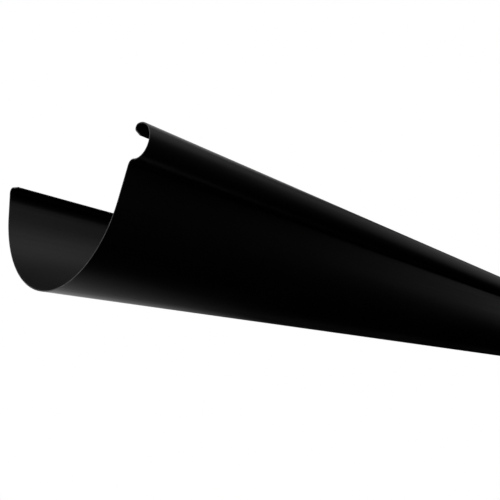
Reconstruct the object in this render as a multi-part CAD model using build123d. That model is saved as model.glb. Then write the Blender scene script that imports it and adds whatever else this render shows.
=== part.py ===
from math import atan2, copysign, cos, degrees, radians, sin
import os

from build123d import *

os.makedirs("parts", exist_ok=True)

# Sizes in millimetres and angles in degrees. Bend radii run to the middle of the sheet.
stock_length = 2000.0        # one full length of gutter
sheet = 0.8                  # thickness of the rolled steel
round_diameter = 150.0       # outside diameter of the half round

lip_flat = 9.0               # flat part of the back lip, pointing into the trough
lip_radius = 3.1             # bend from the back wall into its lip
lip_turn = 108.8             # how far that bend turns
back_straight = 20.3         # flat part of the back wall above the round
back_lean = 6.8              # outward lean of the back wall from upright

front_lean = 22.3            # outward lean of the front wall from upright
front_straight = 21.5        # flat part of the front wall above the round
shoulder_radius = 3.95       # bend outward under the bead
shoulder_turn = 84.6         # how far that bend turns
bead_radius = 11.2           # large round of the front bead
bead_turn = 198.3            # how far the large round turns, up and back over the top
curl_radius = 2.4            # tight bend at the back of the bead
curl_turn = 132.0            # how far that bend turns, down and forward again
curl_flat = 5.4              # flat end of the sheet, slanting down inside the bead


def direction(angle):
    return Vector(cos(radians(angle)), sin(radians(angle)))


def flat(length):
    """A flat stretch of the sheet."""
    return length, 0.0


def bend(radius, turn):
    """A bend of the sheet, to the left where the turn is positive."""
    return radius, turn


# The section is one line through the middle of the sheet, drawn with the back of the
# gutter to the right. It runs from the free edge of the back lip, down the back wall,
# round the trough, up the front wall and over the bead to the free edge inside it.
lip_heading = lip_turn - back_lean - 90
round_radius = (round_diameter - sheet) / 2
round_turn = 180 - back_lean - front_lean
stretches = {
    "lip": flat(lip_flat),
    "lip_bend": bend(lip_radius, -lip_turn),
    "back_wall": flat(back_straight),
    "round": bend(round_radius, -round_turn),
    "front_wall": flat(front_straight),
    "shoulder": bend(shoulder_radius, shoulder_turn),
    "bead": bend(bead_radius, -bead_turn),
    "curl": bend(curl_radius, -curl_turn),
    "curl_end": flat(curl_flat),
}


def sheet_side(offset):
    """The edges of one side of the sheet, a set distance to the left of its middle line."""
    edges = {}
    point, heading = Vector(0, 0), lip_heading
    for name, (size, turn) in stretches.items():
        left = direction(heading + 90)
        start = point + left * offset
        if turn:
            bend_side = copysign(1, turn)
            centre = point + left * bend_side * size
            edges[name] = JernArc(start, direction(heading), size - bend_side * offset, turn)
            heading += turn
            point = centre - direction(heading + 90) * bend_side * size
        else:
            point += direction(heading) * size
            edges[name] = Line(start, point + left * offset)
    return edges


outside = sheet_side(sheet / 2)
inside = sheet_side(-sheet / 2)
lip_edge = Line(outside["lip"] @ 0, inside["lip"] @ 0)
curl_edge = Line(outside["curl_end"] @ 1, inside["curl_end"] @ 1)
section = make_face([*outside.values(), *inside.values(), lip_edge, curl_edge])

# Unheld on a level floor the gutter lies on its round and rolls until its centre of
# mass is right below the centre of the round.
round_centre = outside["round"].arc_center
fall = round_centre - section.center()
rest_roll = degrees(atan2(fall.X, fall.Y))
lying = Plane.YZ * Rot(0, 0, rest_roll) * Pos(-round_centre) * section

# The gutter runs along X with its bead on the -Y side. The origin is on the floor,
# in the middle of the space that the gutter takes up.
gutter = extrude(lying, amount=stock_length, dir=(1, 0, 0))
extent = gutter.bounding_box()
gutter = Pos(-extent.center().X, -extent.center().Y, -extent.min.Z) * gutter

export_step(gutter, "parts/gutter.step")
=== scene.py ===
import math

import bmesh
import bpy
from mathutils import Matrix, Vector

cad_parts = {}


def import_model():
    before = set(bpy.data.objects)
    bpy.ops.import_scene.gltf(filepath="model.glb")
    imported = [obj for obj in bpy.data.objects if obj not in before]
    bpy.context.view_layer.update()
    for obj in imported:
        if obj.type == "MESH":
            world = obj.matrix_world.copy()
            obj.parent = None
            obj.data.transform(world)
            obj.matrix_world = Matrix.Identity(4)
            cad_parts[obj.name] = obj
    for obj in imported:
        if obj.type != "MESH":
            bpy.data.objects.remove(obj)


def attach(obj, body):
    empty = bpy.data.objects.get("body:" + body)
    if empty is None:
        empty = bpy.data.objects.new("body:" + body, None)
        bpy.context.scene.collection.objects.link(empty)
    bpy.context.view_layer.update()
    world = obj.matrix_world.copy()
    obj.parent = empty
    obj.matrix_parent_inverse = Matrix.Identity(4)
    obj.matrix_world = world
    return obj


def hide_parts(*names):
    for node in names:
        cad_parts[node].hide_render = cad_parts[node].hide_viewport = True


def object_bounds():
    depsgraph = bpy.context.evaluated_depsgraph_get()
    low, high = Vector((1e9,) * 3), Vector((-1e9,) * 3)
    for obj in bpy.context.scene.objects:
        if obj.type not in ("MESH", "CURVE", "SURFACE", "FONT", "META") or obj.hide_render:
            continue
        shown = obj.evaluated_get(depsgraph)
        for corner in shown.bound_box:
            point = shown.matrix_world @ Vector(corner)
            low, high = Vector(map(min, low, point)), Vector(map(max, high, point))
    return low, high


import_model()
cad_low, cad_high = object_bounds()

MM = 0.001

# The section, in millimetres and degrees, as the CAD part has it. Bend radii run to the
# middle of the sheet.
SHEET = 0.8                  # thickness of the rolled steel
ROUND_DIAMETER = 150.0       # outside diameter of the half round
LIP_FLAT = 9.0               # flat part of the back lip, pointing into the trough
LIP_RADIUS = 3.1             # bend from the back wall into its lip
LIP_TURN = 108.8             # how far that bend turns
BACK_STRAIGHT = 20.3         # flat part of the back wall above the round
BACK_LEAN = 6.8              # outward lean of the back wall from upright
FRONT_LEAN = 22.3            # outward lean of the front wall from upright
FRONT_STRAIGHT = 21.5        # flat part of the front wall above the round
SHOULDER_RADIUS = 3.95       # bend outward under the bead
SHOULDER_TURN = 84.6         # how far that bend turns
BEAD_RADIUS = 11.2           # large round of the front bead
BEAD_TURN = 198.3            # how far the large round turns, up and back over the top
CURL_RADIUS = 2.4            # tight bend at the back of the bead
CURL_TURN = 132.0            # how far that bend turns, down and forward again
CURL_FLAT = 5.4              # flat end of the sheet, slanting down inside the bead
ROUND_RADIUS = (ROUND_DIAMETER - SHEET) / 2
ROUND_TURN = 180 - BACK_LEAN - FRONT_LEAN

# The middle line of the sheet, from the free edge of the back lip to the free edge inside the
# bead, as (size, turn) stretches. A flat has no turn, and a bend to the left a positive one.
STRETCHES = {
    "lip": (LIP_FLAT, 0),
    "lip_bend": (LIP_RADIUS, -LIP_TURN),
    "back_wall": (BACK_STRAIGHT, 0),
    "round": (ROUND_RADIUS, -ROUND_TURN),
    "front_wall": (FRONT_STRAIGHT, 0),
    "shoulder": (SHOULDER_RADIUS, SHOULDER_TURN),
    "bead": (BEAD_RADIUS, -BEAD_TURN),
    "curl": (CURL_RADIUS, -CURL_TURN),
    "curl_end": (CURL_FLAT, 0),
}

# How finely the sheet is meshed.
ARC_ERROR = 0.008            # mm between an arc and its chords
FLAT_STEPS = 6               # spans across each flat stretch
LENGTH_STEPS = 90            # spans along the gutter
ROUNDING_STEPS = 4           # spans round the corners of the cut ends
EDGE_ROUNDING = 0.22         # mm, the radius that the shears leave on those corners

# The sheet's material slots.
COATED = 0
BARE = 1

# The patterns in the two materials: features per metre, the share of them that there is
# along X, Y and Z, and how many finer layers lie on top.
DUST = (14, (0.3, 1, 1), 5)
STREAKS = (420, (0.01, 1, 1), 3)
PEEL = (750, (1, 1, 1), 1)
DRAG = (2600, (1, 1, 1), 3)
STAIN = (160, (1, 1, 1), 3)
SPREAD = (0.3, 0.7)          # the values between which most of a pattern lies
DUST_SPREAD = (0.35, 0.75)   # where the dust begins to show, and where it is thickest
CLOUD_SPREAD = (0.25, 0.75)  # the same for its effect on the gloss

# The coating.
PAINT_COLOUR = (0.0035, 0.0035, 0.0036)
DUST_COLOUR = (0.0055, 0.0055, 0.0053)
PAINT_ROUGHNESS = 0.36
CLOUDING = 0.045             # how far the dust takes the roughness up or down
RUBBING = 0.025              # how far the streaks from the rolls do
STREAK_DEPTH = 1e-5          # m
PEEL_DEPTH = 1.2e-5          # m
PAINT_SPECULAR = 0.35

# The steel where it was cut.
STEEL_COLOUR = (0.12, 0.12, 0.125)
STAIN_COLOUR = (0.05, 0.05, 0.052)
STEEL_ROUGHNESS = (0.4, 0.55)
DRAG_DEPTH = 2e-5            # m
STEEL_METALLIC = 0.6         # below 1 for the paint that was dragged over it

# The camera, found from the photograph: its place beside the near end, in millimetres from
# the centre of the round in the plane of that end, before the gutter is rolled to rest.
CAMERA_BEFORE_END = 183.4
CAMERA_TO_FRONT = 338.1
CAMERA_BELOW = 140.0
CAMERA_YAW = 41.8            # degrees from the gutter's length towards its back
CAMERA_PITCH = 14.34         # degrees up
LENS = 40.49                 # mm on a 36 mm sensor
SENSOR = 36.0
CLIP_START = 0.01            # m
CLIP_END = 100               # m

# The floor, in metres.
FLOOR_RADIUS = 40.0
FLOOR_SIDES = 96
FLOOR_FADE_FROM = 1.1        # where the floor begins to fade into the white backdrop
FLOOR_FADE_TO = 2.7          # where it is all white
FLOOR_COLOUR = (0.8, 0.8, 0.8)
FLOOR_ROUGHNESS = 0.9

# The soft light from the sky: its strength above and below the horizon, and how far it takes
# to change, as the sine of an elevation.
SKY_ABOVE = 0.55
SKY_BELOW = 0.05
SKY_EDGE = 0.3

# The lamp overhead, in metres and watts. It points at the middle of the gutter.
LAMP_PLACE = (0, -0.5, 2.4)
LAMP_AIM = (0, 0, 0)
LAMP_SIZE = (4.6, 2.4)
LAMP_POWER = 50

# The tent of reflections, in metres and degrees. A panel is the azimuth and elevation of its
# middle, how far it reaches from there, and its brightness, which is full within PANEL_CORE.
# Azimuths run from the far end, 0, to the back, 90, and to the bead's side, -90. All but the
# last two brightnesses were fitted to the highlights in the photograph.
TENT_RADIUS = 60.0
TENT_SEGMENTS = 64
TENT_RINGS = 32
PANEL_CORE = 2
TENT_PANELS = [
    # On the bead's side, for the inside of the back wall and the round.
    (-80, 15, 25, 0.23),
    (-60, 35, 25, 0.55),
    (-60, 55, 25, 0.48),
    # Past the far end, for the front wall, the bead and the bottom of the trough.
    (-20, 12, 34, 0.18),
    (0, 15, 25, 0.09),
    (20, 55, 25, 0.89),
    # Behind the gutter, for the underside of the round.
    (65, 25, 25, 0.96),
    (65, 5, 25, 0.44),
    (85, 5, 25, 1.2),
    (85, -15, 25, 1.2),
    (85, -35, 25, 1.2),
    (65, -35, 25, 0.14),
    # Past the near end, for its cut edge and for the gutter seen from the far end.
    (125, 10, 30, 0.9),
    (135, 50, 30, 1.2),
    (180, 25, 40, 0.3),
    (-140, 30, 50, 0.4),
]


def direction(angle):
    return Vector((math.cos(math.radians(angle)), math.sin(math.radians(angle))))


def middle_line():
    """Points along the middle of the sheet, each with the direction to its left, and the
    centre of the round."""
    point = Vector((0, 0))
    heading = LIP_TURN - BACK_LEAN - 90
    line = [(point.copy(), direction(heading + 90))]
    for name, (size, turn) in STRETCHES.items():
        left = direction(heading + 90)
        if turn:
            bend_side = math.copysign(1, turn)
            centre = point + left * bend_side * size
            step = 2 * math.degrees(math.acos(1 - ARC_ERROR / size))
            steps = math.ceil(abs(turn) / step)
            for i in range(1, steps + 1):
                left = direction(heading + turn * i / steps + 90)
                line.append((centre - left * bend_side * size, left))
            heading += turn
        else:
            along = direction(heading)
            for i in range(1, FLAT_STEPS + 1):
                line.append((point + along * size * i / FLAT_STEPS, left))
        point = line[-1][0]
        if name == "round":
            round_centre = centre
    return line, round_centre


def centroid(outline):
    """Centre of the area inside a closed outline."""
    area = 0
    sum_x = 0
    sum_y = 0
    for start, end in zip(outline, outline[1:] + outline[:1]):
        cross = start.x * end.y - end.x * start.y
        area += cross / 2
        sum_x += (start.x + end.x) * cross / 6
        sum_y += (start.y + end.y) * cross / 6
    return Vector((sum_x / area, sum_y / area))


def resting_section():
    """The section as it lies: its outline, its roll, and the centre of its round, with the
    points in metres along Y and Z."""
    line, round_centre = middle_line()
    outside = [point + left * SHEET / 2 for point, left in line]
    inside = [point - left * SHEET / 2 for point, left in line]
    outline = outside + inside[::-1]
    fall = round_centre - centroid(outline)
    roll = math.atan2(fall.x, fall.y)
    turned = [Matrix.Rotation(roll, 2) @ (point - round_centre) * MM for point in outline]
    low_y = min(point.x for point in turned)
    high_y = max(point.x for point in turned)
    shift = Vector((-(low_y + high_y) / 2, ROUND_DIAMETER / 2 * MM))
    return [point + shift for point in turned], roll, shift


section, rest_roll, round_centre = resting_section()
near_end = cad_low.x
far_end = cad_high.x


def ring_places():
    """Where each ring of vertices lies along X, and how far a rounded corner draws it in."""
    radius = EDGE_ROUNDING * MM
    corner = []
    for i in range(ROUNDING_STEPS + 1):
        angle = math.pi / 2 * i / ROUNDING_STEPS
        corner.append((radius * (1 - math.cos(angle)), radius * (1 - math.sin(angle))))
    span = (far_end - near_end) / LENGTH_STEPS
    near = [(near_end + along, inset) for along, inset in corner]
    middle = [(near_end + span * i, 0) for i in range(1, LENGTH_STEPS)]
    far = [(far_end - along, inset) for along, inset in corner[::-1]]
    return near + middle + far


def gutter_sheet():
    """The rolled sheet, finer than the CAD mesh, with slightly rounded cut ends."""
    # The section runs along the outside of the sheet and back along its inside, so point i
    # has point count - 1 - i across the sheet from it.
    count = len(section)
    half = count // 2
    free_edges = (half - 1, count - 1)
    mesh = bmesh.new()
    rings = []
    for x, inset in ring_places():
        ring = []
        for i, point in enumerate(section):
            across = section[count - 1 - i] - point
            place = point + across.normalized() * inset
            ring.append(mesh.verts.new((x, place.x, place.y)))
        rings.append(ring)
    last_span = len(rings) - 2
    for span, (ring, following) in enumerate(zip(rings, rings[1:])):
        at_an_end = span < ROUNDING_STEPS or span > last_span - ROUNDING_STEPS
        for i in range(count):
            j = (i + 1) % count
            face = mesh.faces.new((ring[i], following[i], following[j], ring[j]))
            cut = at_an_end or i in free_edges
            face.smooth = not cut
            face.material_index = BARE if cut else COATED
    for ring, flip in ((rings[0], False), (rings[-1], True)):
        for i in range(half - 1):
            corners = [ring[i], ring[i + 1], ring[count - 2 - i], ring[count - 1 - i]]
            face = mesh.faces.new(corners[::-1] if flip else corners)
            face.material_index = BARE
    for edge in mesh.edges:
        edge.smooth = all(face.material_index == COATED for face in edge.link_faces)
    mesh.normal_update()
    data = bpy.data.meshes.new("gutter_sheet")
    mesh.to_mesh(data)
    mesh.free()
    piece = bpy.data.objects.new("gutter_sheet", data)
    bpy.context.scene.collection.objects.link(piece)
    return piece


def new_material(name):
    """A material and its node tree."""
    material = bpy.data.materials.new(name)
    material.use_nodes = True
    return material, material.node_tree


def node(tree, kind, **settings):
    """A new node with its properties set by name."""
    made = tree.nodes.new(kind)
    for name, value in settings.items():
        setattr(made, name, value)
    return made


def noise(tree, scale, shares, layers):
    """A noise pattern fixed to the gutter."""
    place = node(tree, "ShaderNodeTexCoord")
    mapping = node(tree, "ShaderNodeMapping")
    mapping.inputs["Scale"].default_value = shares
    pattern = node(tree, "ShaderNodeTexNoise")
    pattern.inputs["Scale"].default_value = scale
    pattern.inputs["Detail"].default_value = layers
    tree.links.new(place.outputs["Object"], mapping.inputs["Vector"])
    tree.links.new(mapping.outputs["Vector"], pattern.inputs["Vector"])
    return pattern.outputs["Fac"]


def remap(tree, value, start, target):
    """A value taken from one range to another, smoothly and without going past its ends."""
    made = node(tree, "ShaderNodeMapRange", interpolation_type="SMOOTHSTEP")
    made.inputs["From Min"].default_value = start[0]
    made.inputs["From Max"].default_value = start[1]
    made.inputs["To Min"].default_value = target[0]
    made.inputs["To Max"].default_value = target[1]
    tree.links.new(value, made.inputs["Value"])
    return made.outputs["Result"]


def calculate(tree, operation, first, second):
    """The result of an operation on two sockets."""
    made = node(tree, "ShaderNodeMath", operation=operation)
    tree.links.new(first, made.inputs[0])
    tree.links.new(second, made.inputs[1])
    return made.outputs["Value"]


def blend(tree, share, first, second):
    """Two colours mixed by a share."""
    made = node(tree, "ShaderNodeMix", data_type="RGBA")
    made.inputs["A"].default_value = (*first, 1)
    made.inputs["B"].default_value = (*second, 1)
    tree.links.new(share, made.inputs["Factor"])
    return made.outputs["Result"]


def either(tree, share, first, second):
    """Two shaders mixed by a share."""
    made = node(tree, "ShaderNodeMixShader")
    tree.links.new(share, made.inputs["Fac"])
    tree.links.new(first, made.inputs[1])
    tree.links.new(second, made.inputs[2])
    return made.outputs["Shader"]


def relief(tree, height, depth, below=None):
    """A bump of a given depth in metres, on top of another bump."""
    made = node(tree, "ShaderNodeBump")
    made.inputs["Distance"].default_value = depth
    tree.links.new(height, made.inputs["Height"])
    if below:
        tree.links.new(below, made.inputs["Normal"])
    return made.outputs["Normal"]


def coating():
    """Black satin paint: a fine orange-peel grain, faint streaks from the rolls and a little dust."""
    material, tree = new_material("black_coating")
    shader = tree.nodes["Principled BSDF"]
    dust = noise(tree, *DUST)
    streaks = noise(tree, *STREAKS)
    peel = noise(tree, *PEEL)
    film = blend(tree, remap(tree, dust, DUST_SPREAD, (0, 1)), PAINT_COLOUR, DUST_COLOUR)
    cloudy = (PAINT_ROUGHNESS - CLOUDING, PAINT_ROUGHNESS + CLOUDING)
    cloud = remap(tree, dust, CLOUD_SPREAD, cloudy)
    rubbed = remap(tree, streaks, SPREAD, (-RUBBING, RUBBING))
    rolled = relief(tree, streaks, STREAK_DEPTH)
    tree.links.new(film, shader.inputs["Base Color"])
    tree.links.new(calculate(tree, "ADD", cloud, rubbed), shader.inputs["Roughness"])
    tree.links.new(relief(tree, peel, PEEL_DEPTH, rolled), shader.inputs["Normal"])
    shader.inputs["Specular IOR Level"].default_value = PAINT_SPECULAR
    return material


def cut_edge():
    """Bare steel where the sheet was cut: dragged by the shears, and stained."""
    material, tree = new_material("cut_edge")
    shader = tree.nodes["Principled BSDF"]
    drag = noise(tree, *DRAG)
    stain = noise(tree, *STAIN)
    metal = blend(tree, remap(tree, stain, SPREAD, (0, 1)), STEEL_COLOUR, STAIN_COLOUR)
    tree.links.new(metal, shader.inputs["Base Color"])
    tree.links.new(remap(tree, drag, SPREAD, STEEL_ROUGHNESS), shader.inputs["Roughness"])
    tree.links.new(relief(tree, drag, DRAG_DEPTH), shader.inputs["Normal"])
    shader.inputs["Metallic"].default_value = STEEL_METALLIC
    return material


def floor():
    """A plain pale floor that fades into the backdrop and is only there when seen from above."""
    bpy.ops.mesh.primitive_circle_add(
        vertices=FLOOR_SIDES, radius=FLOOR_RADIUS, fill_type="NGON", location=(0, 0, cad_low.z))
    plane = bpy.context.object
    plane.name = "floor"
    material, tree = new_material("floor")
    shader = tree.nodes["Principled BSDF"]
    shader.inputs["Base Color"].default_value = (*FLOOR_COLOUR, 1)
    shader.inputs["Roughness"].default_value = FLOOR_ROUGHNESS
    shader.inputs["Specular IOR Level"].default_value = 0
    white = node(tree, "ShaderNodeEmission")
    clear = node(tree, "ShaderNodeBsdfTransparent")
    place = node(tree, "ShaderNodeTexCoord")
    away = node(tree, "ShaderNodeVectorMath", operation="LENGTH")
    tree.links.new(place.outputs["Object"], away.inputs[0])
    fade = remap(tree, away.outputs["Value"], (FLOOR_FADE_FROM, FLOOR_FADE_TO), (0, 1))
    rays = node(tree, "ShaderNodeLightPath")
    seen_fade = calculate(tree, "MULTIPLY", fade, rays.outputs["Is Camera Ray"])
    side = node(tree, "ShaderNodeNewGeometry")
    faded = either(tree, seen_fade, shader.outputs["BSDF"], white.outputs["Emission"])
    one_sided = either(tree, side.outputs["Backfacing"], faded, clear.outputs["BSDF"])
    tree.links.new(one_sided, tree.nodes["Material Output"].inputs["Surface"])
    plane.data.materials.append(material)
    plane.visible_glossy = False
    plane.visible_diffuse = False


def world():
    """Soft light from above that fades out below the horizon, and a white background."""
    sky = bpy.data.worlds.new("studio")
    bpy.context.scene.world = sky
    sky.use_nodes = True
    tree = sky.node_tree
    tree.nodes.clear()
    place = node(tree, "ShaderNodeTexCoord")
    height = node(tree, "ShaderNodeSeparateXYZ")
    tree.links.new(place.outputs["Generated"], height.inputs["Vector"])
    strength = remap(tree, height.outputs["Z"], (-SKY_EDGE, SKY_EDGE), (SKY_BELOW, SKY_ABOVE))
    fill = node(tree, "ShaderNodeBackground")
    fill.inputs["Color"].default_value = (1, 1, 1, 1)
    tree.links.new(strength, fill.inputs["Strength"])
    white = node(tree, "ShaderNodeBackground")
    white.inputs["Color"].default_value = (1, 1, 1, 1)
    rays = node(tree, "ShaderNodeLightPath")
    seen = calculate(tree, "MAXIMUM", rays.outputs["Is Glossy Ray"], rays.outputs["Is Transmission Ray"])
    seen = calculate(tree, "MAXIMUM", rays.outputs["Is Camera Ray"], seen)
    lit = either(tree, seen, fill.outputs["Background"], white.outputs["Background"])
    output = node(tree, "ShaderNodeOutputWorld")
    tree.links.new(lit, output.inputs["Surface"])


def panel_glow(tree, toward, azimuth, elevation, reach, brightness):
    """How bright one panel of the tent is in a direction."""
    turn = math.radians(azimuth)
    rise = math.radians(elevation)
    facing = node(tree, "ShaderNodeVectorMath", operation="DOT_PRODUCT")
    facing.inputs[1].default_value = (
        math.cos(turn) * math.cos(rise), math.sin(turn) * math.cos(rise), math.sin(rise))
    tree.links.new(toward, facing.inputs[0])
    edge = math.cos(math.radians(reach))
    core = math.cos(math.radians(PANEL_CORE))
    return remap(tree, facing.outputs["Value"], (edge, core), (0, brightness))


def tent():
    """A large black tent round the set that only gloss shows, with soft pale panels."""
    bpy.ops.mesh.primitive_uv_sphere_add(
        segments=TENT_SEGMENTS, ring_count=TENT_RINGS, radius=TENT_RADIUS)
    dome = bpy.context.object
    dome.name = "tent"
    material, tree = new_material("tent")
    tree.nodes.clear()
    place = node(tree, "ShaderNodeTexCoord")
    toward = node(tree, "ShaderNodeVectorMath", operation="NORMALIZE")
    tree.links.new(place.outputs["Object"], toward.inputs[0])
    panels = [panel_glow(tree, toward.outputs["Vector"], *panel) for panel in TENT_PANELS]
    total = panels[0]
    for panel in panels[1:]:
        total = calculate(tree, "ADD", total, panel)
    glow = node(tree, "ShaderNodeEmission")
    tree.links.new(total, glow.inputs["Strength"])
    output = node(tree, "ShaderNodeOutputMaterial")
    tree.links.new(glow.outputs["Emission"], output.inputs["Surface"])
    dome.data.materials.append(material)
    dome.visible_camera = False
    dome.visible_diffuse = False
    dome.visible_transmission = False
    dome.visible_shadow = False


def overhead_lamp():
    """A large soft lamp over the gutter. Gloss shows the tent in its place."""
    data = bpy.data.lights.new("overhead", "AREA")
    data.shape = "RECTANGLE"
    data.size, data.size_y = LAMP_SIZE
    data.energy = LAMP_POWER
    lamp = bpy.data.objects.new("overhead", data)
    lamp.location = LAMP_PLACE
    toward = Vector(LAMP_AIM) - Vector(LAMP_PLACE)
    lamp.rotation_euler = toward.to_track_quat("-Z", "Y").to_euler()
    lamp.visible_glossy = False
    bpy.context.scene.collection.objects.link(lamp)


def camera():
    """The photograph's camera, rolled about the gutter's length with the gutter."""
    data = bpy.data.cameras.new("camera")
    data.lens = LENS
    data.sensor_width = SENSOR
    data.clip_start = CLIP_START
    data.clip_end = CLIP_END
    eye = bpy.data.objects.new("camera", data)
    bpy.context.scene.collection.objects.link(eye)
    yaw = math.radians(CAMERA_YAW)
    pitch = math.radians(CAMERA_PITCH)
    level = Vector((math.cos(yaw), math.sin(yaw), 0))
    forward = level * math.cos(pitch) + Vector((0, 0, math.sin(pitch)))
    right = Vector((math.sin(yaw), -math.cos(yaw), 0))
    up = right.cross(forward)
    place = Vector((-CAMERA_BEFORE_END, -CAMERA_TO_FRONT, -CAMERA_BELOW)) * MM
    pose = Matrix((
        (right.x, up.x, -forward.x, place.x),
        (right.y, up.y, -forward.y, place.y),
        (right.z, up.z, -forward.z, place.z),
        (0, 0, 0, 1),
    ))
    centre = Vector((near_end, round_centre.x, round_centre.y))
    eye.matrix_world = Matrix.Translation(centre) @ Matrix.Rotation(rest_roll, 4, "X") @ pose
    bpy.context.scene.camera = eye


sheet = gutter_sheet()
sheet.data.materials.append(coating())
sheet.data.materials.append(cut_edge())
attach(sheet, "root")
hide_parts("gutter")

floor()
world()
tent()
overhead_lamp()
camera()

scene = bpy.context.scene
scene.view_settings.view_transform = "Standard"
